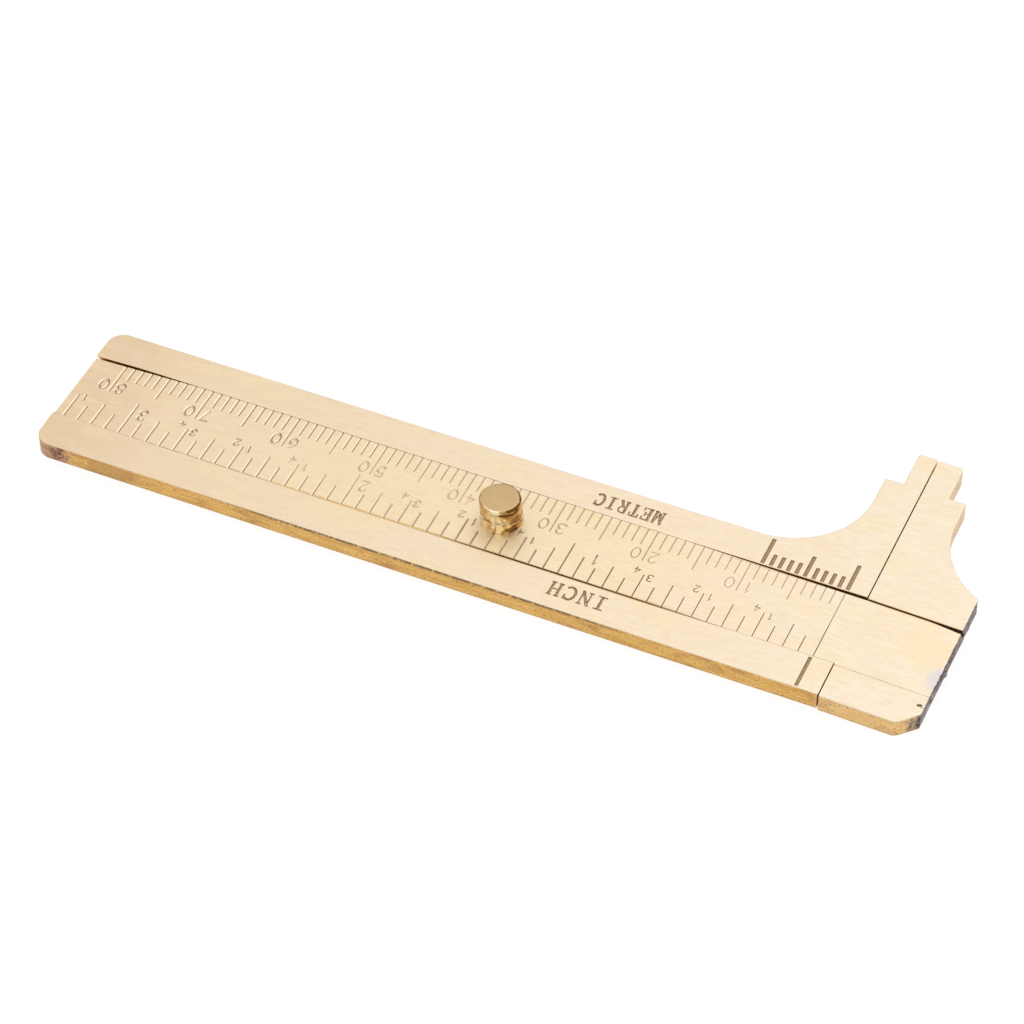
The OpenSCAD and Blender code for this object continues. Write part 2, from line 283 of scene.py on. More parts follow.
class Shell:
    """Collects the faces of one closed mesh, each with a material slot."""

    def __init__(self):
        self.spots, self.faces, self.slots, self.smooth, self.index = [], [], [], [], {}

    def spot(self, p):
        """The index of a point; faces that share it share its index."""
        key = tuple(round(float(c), 4) for c in p)
        if key not in self.index:
            self.index[key] = len(self.spots)
            self.spots.append(key)
        return self.index[key]

    def face(self, points, slot, smooth=True):
        """Adds a face, unless its points have fallen together."""
        ids = list(dict.fromkeys(self.spot(p) for p in points))
        if len(ids) > 2:
            self.faces.append(ids)
            self.slots.append(slot)
            self.smooth.append(smooth)

    def strip(self, lower, upper, slot, levels=1):
        """Quads between two rings that run anticlockwise, seen from the upper one's side."""
        rings = [[a.lerp(b, k / levels) for a, b in zip(lower, upper)] for k in range(levels + 1)]
        for low, high in zip(rings[:-1], rings[1:]):
            for k in range(len(low)):
                j = (k + 1) % len(low)
                self.face([low[k], low[j], high[j], high[k]], slot)

    def sheet(self, loop, z, slot, marks=(), up=True, hole=()):
        """Fills an outline with triangles that follow the marks, around an optional hole."""
        spots = [p.xy for p in loop]
        edges = []
        for outline in [o for m in marks for o in m.outlines()] + [hole] * bool(hole):
            first = len(spots)
            spots += [p.xy for p in outline]
            edges += [(first + k, first + (k + 1) % len(outline)) for k in range(len(outline))]
        border = list(range(len(loop)))
        flat, _, triangles, _, _, owners = delaunay_2d_cdt(spots, edges, [border], 1, SAME)
        triangles = [t for t, owner in zip(triangles, owners) if owner]
        flat = flat_points(flat)
        depth, _ = pressed(marks, flat)
        middles = np.array([flat[list(t)].mean(0) for t in triangles])
        deep, mark_slot = pressed(marks, middles)
        for tri, middle, press, owner in zip(triangles, middles, deep, mark_slot):
            if hole and inside(middle, hole):
                continue
            order = tri if up else tri[::-1]
            points = [(*flat[i], z - depth[i]) for i in order]
            self.face(points, int(owner) if press > SHOWS else slot, smooth=False)

    def warp(self, move):
        """Moves every point by a rule."""
        self.spots = [tuple(move(Vector(p))) for p in self.spots]

    def build(self, name, materials, body, node, sharp=32):
        """Makes the piece that stands for a node of the frame."""
        data = bpy.data.meshes.new(name)
        data.from_pydata([Vector(p) * MM for p in self.spots], [], self.faces)
        for m in materials:
            data.materials.append(m)
        data.polygons.foreach_set("material_index", self.slots)
        data.polygons.foreach_set("use_smooth", self.smooth)
        bm = bmesh.new()
        bm.from_mesh(data)
        bmesh.ops.remove_doubles(bm, verts=bm.verts, dist=2e-4 * MM)
        bmesh.ops.recalc_face_normals(bm, faces=bm.faces)
        limit = math.radians(sharp)
        for e in bm.edges:
            e.smooth = len(e.link_faces) == 2 and e.calc_face_angle(0) < limit
        loose = sum(len(e.link_faces) != 2 for e in bm.edges)
        print(f"{name}: {len(bm.faces)} faces, {loose} open edges, volume {bm.calc_volume() / MM ** 3:.1f}")
        bm.to_mesh(data)
        bm.free()
        piece = bpy.data.objects.new(name, data)
        bpy.context.scene.collection.objects.link(piece)
        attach(piece, body)
        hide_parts(node)
        return piece


def inside(p, loop):
    """Whether a point lies inside an outline."""
    odd = False
    for a, b in zip(loop, loop[1:] + loop[:1]):
        if (a.y > p[1]) != (b.y > p[1]) and p[0] < a.x + (p[1] - a.y) / (b.y - a.y) * (b.x - a.x):
            odd = not odd
    return odd


def rounded_top(shell, rings, downs, marks=(), hole=()):
    """The rounded edge and the top face inside it; returns the ring where the wall starts."""
    levels = []
    for ring, (_, share) in zip(rings, ROUND):
        depth, _ = pressed(marks, flat_points(ring))
        levels.append([Vector((p.x, p.y, TOP - max(down * share, press)))
                       for p, down, press in zip(ring, downs, depth)])
    for lower, upper in zip(levels[:-1], levels[1:]):
        shell.strip(lower, upper, FACE)
    shell.sheet(rings[-1], TOP, FACE, marks, hole=hole)
    return levels[0]


def channel_part(shell, jaw_outer, jaw_turn, plain_outer, plain_turn, jaw_marks, plain_marks, levels=1):
    """A length of the channel: two rails with leaning flanks over one web.

    An outer path starts on the flank, runs anticlockwise round its rail and ends on the flank again.
    A turn is the rest of the flank's line, from the end of the outer path back to its start.
    """
    feet = []
    for outer, turn, run, marks in ((jaw_outer, jaw_turn, FLANK_RUN, jaw_marks),
                                    (plain_outer, plain_turn, -FLANK_RUN, plain_marks)):
        loop = outer + turn
        side = outer[0].y
        on_flank = [k == 0 or k >= len(outer) - 1 for k in range(len(loop))]
        meeting = [JAW_PLANE - ON < p.x < HEAD_START + ON for p in loop]
        edges = [FLANK_EDGE if flank else MEETING_EDGE if meets else OUTER_EDGE
                 for meets, flank in zip(meeting, on_flank)]
        rings = [inset(loop, [wide * share for wide, _ in edges]) for share, _ in ROUND]
        rim = rounded_top(shell, rings, [down for _, down in edges], marks)
        shares = [max(0, 1 - abs(p.y - side) / FLANK_REACH) for p in loop]
        foot = [Vector((p.x, p.y + run * share, WEB_T)) for p, share in zip(loop, shares)]
        shell.strip(foot, rim, WALL, levels)
        feet.append((foot[:len(outer)], foot[len(outer):]))
    (jaw_foot, jaw_line), (plain_foot, plain_line) = feet
    web = [plain_foot[0]] + plain_line[::-1] + [plain_foot[-1]]
    web += [jaw_foot[0]] + jaw_line[::-1] + [jaw_foot[-1]]
    shell.sheet(web, WEB_T, BACK)
    base = jaw_foot + plain_foot
    wide, up = OUTER_EDGE
    flat = [p.xy for p in base]
    rings = [lifted(inset(flat, [wide * i] * len(flat)), up * share) for i, share in ROUND]
    shell.strip(rings[0], base, WALL)
    for upper, lower in zip(rings[:-1], rings[1:]):
        shell.strip(lower, upper, BACK)
    shell.sheet(rings[-1], 0, BACK, up=False)


def frame_paths():
    """The outer path and the turn of the frame's jaw rail, then of its plain rail."""
    jaw_x = JAW_PLANE - FIXED_JAW_W
    tip_x = JAW_PLANE - FIXED_TIP_W
    run, drop = MEETING_CORNER
    jaw = [Vector((JAW_PLANE, JAW_SIDE)), Vector((JAW_PLANE, TIP_Y - drop)),
           Vector((JAW_PLANE - run, TIP_Y))]
    jaw += arc(tip_x + NOSE_R, TIP_Y - NOSE_R, NOSE_R, 90, 180, 15)
    jaw += arc(tip_x - FILLET_R, SHOULDER_Y + FILLET_R, FILLET_R, 0, -90, 18)
    jaw += arc(jaw_x + NOSE_R, SHOULDER_Y - NOSE_R, NOSE_R, 90, 180, 15)
    jaw += arc(jaw_x - HOLLOW_R, HOLLOW_Y, HOLLOW_R, 0, -90, 2)
    jaw += arc(CLOSED_END + CORNER_R, JAW_EDGE - CORNER_R, CORNER_R, 90, 180)
    pinched = JAW_SIDE - PINCH + INNER_CORNER_R
    jaw.append(Vector((CLOSED_END, pinched)))
    turn = arc(CLOSED_END + INNER_CORNER_R, pinched, INNER_CORNER_R, 180, 270, 15)[1:]
    turn.append(Vector((CLOSED_END + PINCH_LEN, JAW_SIDE)))
    plain = [Vector((CLOSED_END, -BAR_EDGE - SEAM[0][1]))]
    plain += arc(CLOSED_END + CORNER_R, PLAIN_EDGE + CORNER_R, CORNER_R, 180, 270)
    plain += [Vector((JAW_PLANE - run, PLAIN_EDGE)), Vector((JAW_PLANE, PLAIN_EDGE + drop)),
              Vector((JAW_PLANE, -BAR_EDGE - SEAM[-1][1]))]
    plain_turn = [Vector((x, -BAR_EDGE - min(gap, PLAIN_GAP))) for x, gap in SEAM[:0:-1]]
    return jaw, turn, plain, plain_turn


def head_paths():
    """The outer paths of the head's two rails."""
    jaw_x = JAW_PLANE + MOVING_JAW_W
    tip_x = JAW_PLANE + MOVING_TIP_W
    run, drop = MEETING_CORNER
    hollow_x = jaw_x + MOVING_HOLLOW_R
    hollow_y, shoulder_y, tip_y = HOLLOW_Y - HEAD_DROP, SHOULDER_Y - HEAD_DROP, TIP_Y - HEAD_DROP
    reach = HEAD_END - hollow_x
    corner_y = hollow_y - math.sqrt(MOVING_HOLLOW_R ** 2 - reach ** 2)
    meets = 360 + math.degrees(math.atan2(corner_y - hollow_y, reach))
    # The corner where the end meets the hollow is cut: this much before it, and this many degrees after
    cut, cut_turn = 0.1, 0.6
    jaw = steps(in_head(HEAD_END, JAW_SIDE), (HEAD_END, corner_y - cut), RAGGED_STEP)
    jaw += arc(hollow_x, hollow_y, MOVING_HOLLOW_R, meets - cut_turn, 180, 2)
    jaw += arc(jaw_x - NOSE_R, shoulder_y - NOSE_R, NOSE_R, 0, 90, 15)
    jaw += arc(tip_x + FILLET_R, shoulder_y + FILLET_R, FILLET_R, 270, 180, 18)
    jaw += arc(tip_x - MOVING_NOSE_R, tip_y - MOVING_NOSE_R, MOVING_NOSE_R, 0, 90, 15)
    jaw += [Vector((HEAD_START + run, tip_y)), Vector((HEAD_START, tip_y - drop)),
            in_head(HEAD_START, JAW_SIDE)]
    plain = [in_head(HEAD_START, PLAIN_SIDE), in_head(HEAD_START, PLAIN_EDGE + drop),
             in_head(HEAD_START + run, PLAIN_EDGE)]
    plain += [in_head(HEAD_END - HEAD_CHAMFER + x, PLAIN_EDGE + y) for x, y in CHAMFER_EASE]
    plain += steps(in_head(HEAD_END, PLAIN_EDGE + HEAD_CHAMFER), in_head(HEAD_END, PLAIN_SIDE),
                   RAGGED_STEP)
    return jaw, plain


# ---- the scales ----

INCH = 25.4
# Lengths of the lines, from short to long
MM_LINES = (2.25, 3.45, 4.35)
INCH_LINES = (2.2, 3.18, 3.4, 4.6)
VERNIER_LINES = (1.6, 2.95, 3.6)
# How far the lines run on past the edge of the bar
OVERRUN = 0.3
VERNIER_PITCH = 0.9
VERNIER_FOOT = JAW_SIDE + 0.16
VERNIER_HALF, INDEX_HALF = 0.21, 0.19
BROAD_DEPTH, BROAD_WALL = 0.1, 0.35
# Outer sizes of the numerals, and how much of them is left for the width of the line
MM_DIGIT, INCH_DIGIT, PART_DIGIT = (1, 1.6), (0.9, 1.6), (0.7, 1.05)
NUMERAL_LINE = 0.16
WORD_X = -23.9


def bend(x, y, rx, ry, start, end):
    """Part of an ellipse in a numeral's box, which runs from -1 to 1 both ways."""
    return [(x + rx * p.x, y + ry * p.y) for p in arc(0, 0, 1, start, end, 20)]


NUMERALS = {
    0: [bend(0, 0, 1, 1, 0, 360)],
    1: [[(-0.6, 0.55), (0, 1), (0, -1)]],
    2: [bend(0, 0.45, 0.9, 0.55, 165, -40) + [(-0.9, -1), (1, -1)]],
    3: [bend(-0.1, 0.5, 0.95, 0.5, 150, -90) + bend(-0.1, -0.5, 1.05, 0.5, 90, -150)[1:]],
    4: [[(0.4, -1), (0.4, 1), (-1, -0.35), (1, -0.35)]],
    5: [[(0.9, 1), (-0.7, 1), (-0.8, 0.1)] + bend(-0.05, -0.35, 0.95, 0.65, 120, -140)],
    6: [bend(0, -0.42, 0.95, 0.58, 0, 360), bend(0.9, -0.42, 1.85, 1.4, 108, 180)],
    7: [[(-1, 1), (1, 1), (-0.3, -1)]],
    8: [bend(0, 0.52, 0.8, 0.48, 0, 360), bend(0, -0.48, 1, 0.52, 0, 360)],
}


def struck(x):
    """How hard the lines are struck, from 0 towards the head to 1 near the closed end."""
    return min(1, max(0, (-12 - x) / 50))


def line_half(x):
    """Half the width of a fine line."""
    return 0.05 + 0.11 * struck(x)


def line_depth(x):
    """The depth of a fine line."""
    return 0.035 + 0.04 * struck(x)


def tick(x, y0, y1):
    """A fine line of a scale."""
    return Mark([(x, y0), (x, y1)], line_half(x), line_depth(x), flat=True)


def broad_line(x, y0, y1, half):
    """A broad stamped line of the vernier or the index."""
    return Mark([(x, y0), (x, y1)], half, BROAD_DEPTH, STAMP, flat=True, wall=BROAD_WALL)


def numeral(n, x, y, size):
    """A numeral centred at x, y; it is read from the side of the jaws, so it is turned half round."""
    w, h = [(side - NUMERAL_LINE) / 2 for side in size]
    return [Mark([(x - w * u, y - h * v) for u, v in path], line_half(x), line_depth(x))
            for path in NUMERALS[n]]


def mm_scale():
    """Lines for 1 to 80 mm, with a numeral at each side of every tenth one."""
    short, middle, long = MM_LINES
    marks = []
    for k in range(1, 81):
        length = long if k % 10 == 0 else middle if k % 5 == 0 else short
        marks.append(tick(-k, BAR_EDGE - length, BAR_EDGE + OVERRUN))
        if k % 10 == 0:
            marks += numeral(k // 10, 0.9 - k, 1.15, MM_DIGIT) + numeral(0, -0.97 - k, 1.15, MM_DIGIT)
    return marks


def inch_scale():
    """Lines for 1 to 52 sixteenths; the longest line of the first inch stands one line too far on."""
    sixteenth, eighth, quarter, whole = INCH_LINES
    marks = []
    for k in range(1, 53):
        x = -k * INCH / 16
        longest = k == 17 or (k > 17 and k % 16 == 0)
        fourth = k % 4 == 0 and k != 16
        length = whole if longest else quarter if fourth else eighth if k % 2 == 0 else sixteenth
        marks.append(tick(x, -BAR_EDGE - OVERRUN, length - BAR_EDGE))
        part = k // 4 % 4
        if k % 16 == 0:
            marks += numeral(k // 16, x + 1.1, -1.45, INCH_DIGIT)
        elif k % 4 == 0:
            marks += numeral(1 if part == 2 else part, x + 0.7, -1.55, PART_DIGIT)
            if k < 52:
                marks += numeral(2 if part == 2 else 4, x - 0.87, -1, PART_DIGIT)
    return marks


def vernier():
    """Eleven lines on the jaw rail, ten of whose spaces are as long as nine millimetres."""
    short, middle, long = VERNIER_LINES
    marks = []
    for k in range(11):
        length = long if k % 10 == 0 else middle if k == 5 else short
        marks.append(broad_line(-VERNIER_PITCH * k, VERNIER_FOOT, VERNIER_FOOT + length, VERNIER_HALF))
    return marks


# Letters with slab serifs, in a box from -1 to 1 both ways: (bold, points)
STEM, HAIR = True, False
LETTERS = {
    "I": [(STEM, [(0, -1), (0, 1)]), (HAIR, [(-0.7, 1), (0.7, 1)]), (HAIR, [(-0.7, -1), (0.7, -1)])],
    "N": [(HAIR, [(-0.7, -1), (-0.7, 1)]), (STEM, [(-0.7, 1), (0.7, -1)]), (HAIR, [(0.7, -1), (0.7, 1)]),
          (HAIR, [(-1, -1), (-0.35, -1)]), (HAIR, [(-1, 1), (-0.6, 1)]), (HAIR, [(0.35, 1), (1, 1)])],
    "C": [(STEM, bend(0.1, 0, 0.95, 1, 55, 305)), (HAIR, [(0.85, 1), (0.75, 0.35)])],
    "H": [(STEM, [(-0.65, -1), (-0.65, 1)]), (STEM, [(0.65, -1), (0.65, 1)]),
          (HAIR, [(-0.65, 0), (0.65, 0)]), (HAIR, [(-1, -1), (-0.3, -1)]), (HAIR, [(-1, 1), (-0.3, 1)]),
          (HAIR, [(0.3, -1), (1, -1)]), (HAIR, [(0.3, 1), (1, 1)])],
    "M": [(HAIR, [(-0.8, -1), (-0.8, 1)]), (STEM, [(-0.8, 1), (0, -0.7)]), (HAIR, [(0, -0.7), (0.8, 1)]),
          (STEM, [(0.8, -1), (0.8, 1)]), (HAIR, [(-1.05, -1), (-0.45, -1)]), (HAIR, [(0.4, -1), (1.1, -1)])],
    "E": [(STEM, [(-0.6, -1), (-0.6, 1)]), (HAIR, [(-0.95, 1), (0.85, 1), (0.85, 0.55)]),
          (HAIR, [(-0.95, -1), (0.85, -1), (0.85, -0.55)]), (HAIR, [(-0.6, 0), (0.4, 0)]),
          (HAIR, [(0.4, -0.3), (0.4, 0.3)])],
    "T": [(STEM, [(0, -1), (0, 1)]), (HAIR, [(-0.9, 0.5), (-0.9, 1), (0.9, 1), (0.9, 0.5)]),
          (HAIR, [(-0.4, -1), (0.4, -1)])],
    "R": [(STEM, [(-0.6, -1), (-0.6, 1)]),
          (HAIR, [(-0.6, 1)] + bend(0.2, 0.5, 0.6, 0.5, 90, -90) + [(-0.6, 0)]),
          (STEM, [(0.1, 0), (0.75, -1)]), (HAIR, [(-0.95, -1), (-0.25, -1)]),
          (HAIR, [(0.5, -1), (1, -1)])],
}


def word(letters, x, y, pitch, height):
    """A stamped unit word, turned half round like the numerals."""
    letter_half = pitch * 0.38
    marks = []
    for k, letter in enumerate(letters):
        at = x - (k - (len(letters) - 1) / 2) * pitch
        for bold, path in LETTERS[letter]:
            points = [(at - u * letter_half, y - v * height / 2) for u, v in path]
            half, depth = (0.15, 0.13) if bold else (0.085, 0.09)
            marks.append(Mark(points, half, depth, STAMP, wall=0.5))
    return marks


# ---- the pieces ----

def ragged(p):
    """The sawn and soldered end of the head is chewed back unevenly, most of all under the tin."""
    share = min(1, max(0, (p.x - HEAD_END + RAGGED_REACH) / RAGGED_REACH))
    rough = noise.fractal(Vector((0, p.y * 1.3, p.z * 1.6)), 0.6, 2.2, 4)
    chewed = 0.04 + 0.1 * math.exp(-((p.y + 2.5) / 2) ** 2)
    p.x -= share * (0.05 - 0.01 * p.y + chewed * rough)
    return p


def make_frame(materials):
    """The frame, with the vernier, the index and the unit words on its rails."""
    shell = Shell()
    jaw, jaw_turn, plain, plain_turn = frame_paths()
    index = broad_line(-0.15, PLAIN_EDGE + 0.15, PLAIN_SIDE - 0.15, INDEX_HALF)
    channel_part(shell, jaw, jaw_turn, plain, plain_turn,
                 vernier() + word("METRIC", WORD_X, 6.5, 1.27, 1.62),
                 [index] + word("INCH", WORD_X, -6.65, 1.6, 1.7))
    return shell.build("frame_body", materials, "fixed_body", "frame")


def make_head(materials):
    """The moving jaw: the end of the same channel, with two pits near its chamfer."""
    shell = Shell()
    jaw, plain = head_paths()
    pits = [Mark([(11.42, -6.56), (11.62, -6.5)], 0.17, 0.16),
            Mark([(11.75, -6.75), (11.95, -6.7)], 0.05, 0.05)]
    channel_part(shell, jaw, [], plain, [], [], pits, levels=7)
    shell.warp(ragged)
    return shell.build("moving_jaw_body", materials, "slider", "moving_jaw")


def bar_edges(x):
    """The plain-side and the jaw-side edge of the bar at its top."""
    if x > HEAD_START - ON:
        fall = max(0, x - (HEAD_END - HEAD_FALL_LEN)) / HEAD_FALL_LEN * HEAD_FALL
        return in_head(x, -BAR_EDGE).y, in_head(x, JAW_SIDE - HEAD_GAP - fall).y
    neck = max(0, x - (JAW_PLANE - NECK_LEN)) / NECK_LEN * NECK_FALL
    tail = max(0, BAR_LOW.x + TAIL_LEN - x) / TAIL_LEN * TAIL_FALL
    bow = max(0, np.interp(x, *zip(*SEAM)) - PLAIN_GAP)
    return bow - BAR_EDGE, BAR_EDGE - neck - tail


def bar_ring(low_stops, high_stops, wide):
    """The outline of the bar at its top, moved inwards; its stops stay where they are along X."""
    start, end = BAR_LOW.x + wide, HEAD_END - wide
    low = [Vector((x, bar_edges(x)[0] + wide)) for x in [start] + low_stops]
    high = [Vector((x, bar_edges(x)[1] - wide)) for x in high_stops[::-1] + [start]]
    bottom, top = bar_edges(end)
    return low + steps((end, bottom + wide), (end, top - wide), RAGGED_STEP) + high


def make_bar(materials):
    """The bar: its edges step where the head starts, and its outline has points where lines cross it."""
    shell = Shell()
    zero = Mark([(0, -BAR_EDGE - OVERRUN), (0, BAR_EDGE + OVERRUN)], 0.05, 0.04, flat=True)
    marks = mm_scale() + inch_scale() + [zero]
    step = [HEAD_START - 0.02, HEAD_START]
    stops = {-1: step + [x for x, _ in SEAM[1:]],
             1: step + [BAR_LOW.x + TAIL_LEN, JAW_PLANE - NECK_LEN, HEAD_END - HEAD_FALL_LEN]}
    for m in marks:
        for side in stops:
            if m.flat and max(p.y * side for p in m.points) > BAR_EDGE:
                stops[side] += [m.points[0].x + k * w for w in (m.half - m.wall, m.half) for k in (-1, 1)]
    low_stops, high_stops = sorted(stops[-1]), sorted(stops[1])
    wide, down = FLANK_EDGE
    rings = [bar_ring(low_stops, high_stops, wide * share) for share, _ in ROUND]
    hole, seat = [arc(KNOB_X, 0, r, 0, 360, 10)[:-1] for r in (SHANK_R, RIVET_R)]
    rim = rounded_top(shell, rings, [down] * len(rings[0]), marks, hole)
    foot = []
    for p in rings[0]:
        low_edge, high_edge = bar_edges(p.x)
        share = 2 * (p.y - low_edge) / (high_edge - low_edge) - 1
        foot.append(Vector((p.x, p.y + share * BAR_RUN, BAR_BASE)))
    shell.strip(foot, rim, WALL, 6)
    ledge = BAR_BASE + RIVET_T
    shell.strip(lifted(hole, ledge), lifted(hole, TOP), WALL)
    shell.strip(lifted(seat, ledge), lifted(hole, ledge), BACK)
    shell.strip(lifted(seat, BAR_BASE), lifted(seat, ledge), WALL)
    shell.sheet(foot, BAR_BASE, BACK, up=False, hole=seat)
    shell.warp(ragged)
    return shell.build("slide_bar_body", materials, "slider", "slide_bar")


def turned(shell, profile, x, slots):
    """A solid turned around the vertical line at x; its (radius, height) points start and end on it."""
    rings = [lifted(arc(x, 0, r, 0, 360, 3.75)[:-1], z) for r, z in profile[1:-1]]
    shell.face(rings[0][::-1], slots[0], smooth=False)
    for low, high, slot in zip(rings[:-1], rings[1:], slots[1:]):
        shell.strip(low, high, slot)
    shell.face(rings[-1], slots[-1], smooth=False)


KNOB_SIDE, KNOB_TOP = range(2)
KNOB_LEAN = math.tan(math.radians(4.7))
# How much lower the leaning knob is drawn than its box
KNOB_SUNK = 0.08
KNOB_FOOT_H = 1.3


def leaning(p):
    """The knob was riveted a little out of upright: it leans towards the closed end."""
    p.x -= max(0, p.z - TOP) * KNOB_LEAN
    return p


def make_knob(materials):
    """The knob: a foot, a fine groove and a drum with a rounded shoulder, on its riveted shank."""
    r, height = KNOB_R, KNOB_HIGH.z - TOP - KNOB_SUNK
    foot, neck, shoulder, dish = KNOB_FOOT_H, 0.12, 0.3, 0.02
    low_r, foot_r, drum_r = 0.06, 0.1, 0.07
    above = [(r - low_r, 0)]
    above += arc(r - low_r, low_r, low_r, -60, 0, 20)
    above += arc(r - foot_r, foot - foot_r, foot_r, 0, 80, 16)
    above += [(r - neck, foot + 0.05), (r - neck, foot + 0.09)]
    above += arc(r - drum_r, foot + 0.21, drum_r, -80, 0, 20)
    above += [(r - 0.012, (foot + height) / 2)]
    above += arc(r - shoulder, height - shoulder, shoulder, 0, 72, 12)
    top = [(r - shoulder - 0.03, height), (r * 0.5, height - 0.012), (0.12, height - dish),
           (0, height - dish)]
    rivet = [(0, 0), (RIVET_R - 0.05, 0), (RIVET_R, 0.05), (RIVET_R, RIVET_T), (SHANK_R, RIVET_T)]
    profile = [(x, BAR_BASE + z) for x, z in rivet] + [(SHANK_R, TOP)]
    profile += [(x, TOP + z) for x, z in above + top]
    slots = [KNOB_SIDE] * (len(profile) - len(top) - 1) + [KNOB_TOP] * len(top)
    shell = Shell()
    turned(shell, profile, KNOB_X, slots)
    shell.warp(leaning)
    return shell.build("thumb_knob_body", materials, "slider", "thumb_knob", sharp=40)


FILM_SLOT, BEAD_SLOT = range(2)
# The bead's faces along Y and round it, its half length, and how far its middle is over its box's bottom
BEAD_ACROSS, BEAD_ROUND = 72, 20
BEAD_HALF = 3.5
BEAD_MIDDLE = 1.15


def add_film(shell):
    """The film inside the head, under the bar and up its plain side."""
    low, high = WEB_T + 0.005, TOP - 0.025
    seam = (TOP - high) * LEAN
    far = JAW_SIDE - HEAD_GAP + BAR_RUN - HEAD_FALL
    film = [(PLAIN_SIDE - FLANK_RUN, low), (far, low), (far, BAR_BASE), (-BAR_EDGE - BAR_RUN, BAR_BASE),
            (-BAR_EDGE - seam, high), (PLAIN_SIDE - seam, high)]
    ends = [[Vector((*in_head(x, y), z)) for y, z in film] for x in (HEAD_START + 0.05, HEAD_END - 0.12)]
    shell.strip(*ends, FILM_SLOT)
    shell.face(ends[0][::-1], FILM_SLOT)
    shell.face(ends[1], FILM_SLOT)


def bead_point(u, turn):
    """A point of the bead: u runs from -1 to 1 along it, and turn from its foot to its top edge."""
    lump = noise.fractal(Vector((u * 4.2, turn * 0.9, 3.1)), 0.7, 2.1, 4)
    swell = max(0.0, 1 - u * u) ** 0.35
    body = 0.62 + 0.38 * math.exp(-((u + 0.22) / 0.12) ** 2) + 0.3 * lump
    out = max(0.02, min(1, body * swell)) * math.sin(turn) ** 0.7
    tall = (0.55 + 0.22 * noise.noise(Vector((u * 5, 7.7, 0)))) * swell
    z = (SOLDER_LOW.z + BEAD_MIDDLE) - math.cos(turn) * min(0.8, max(0.02, tall))
    x = HEAD_END - 0.16 + out * (SOLDER_HIGH.x - HEAD_END + 0.14)
    return Vector((x, u * BEAD_HALF - HEAD_DROP, z))


def add_bead(shell):
    """The lumpy bead across the open end of the head."""
    across = range(BEAD_ACROSS + 1)
    rows = [[bead_point(2 * k / BEAD_ACROSS - 1, math.pi * j / BEAD_ROUND) for k in across]
            for j in range(BEAD_ROUND + 1)]
    for low, high in zip(rows[:-1], rows[1:]):
        for k in across[:-1]:
            shell.face([low[k], low[k + 1], high[k + 1], high[k]], BEAD_SLOT)
    for k in across[:-1]:
        shell.face([rows[0][k + 1], rows[0][k], rows[-1][k], rows[-1][k + 1]], BEAD_SLOT)
    shell.face([row[0] for row in rows][::-1], BEAD_SLOT)
    shell.face([row[-1] for row in rows], BEAD_SLOT)


def make_solder(materials):
    """The solder: the film inside the head and the lumpy bead across its end."""
    shell = Shell()
    add_film(shell)
    add_bead(shell)
    return shell.build("solder_joint", materials, "slider", "solder", sharp=60)


# ---- materials ----

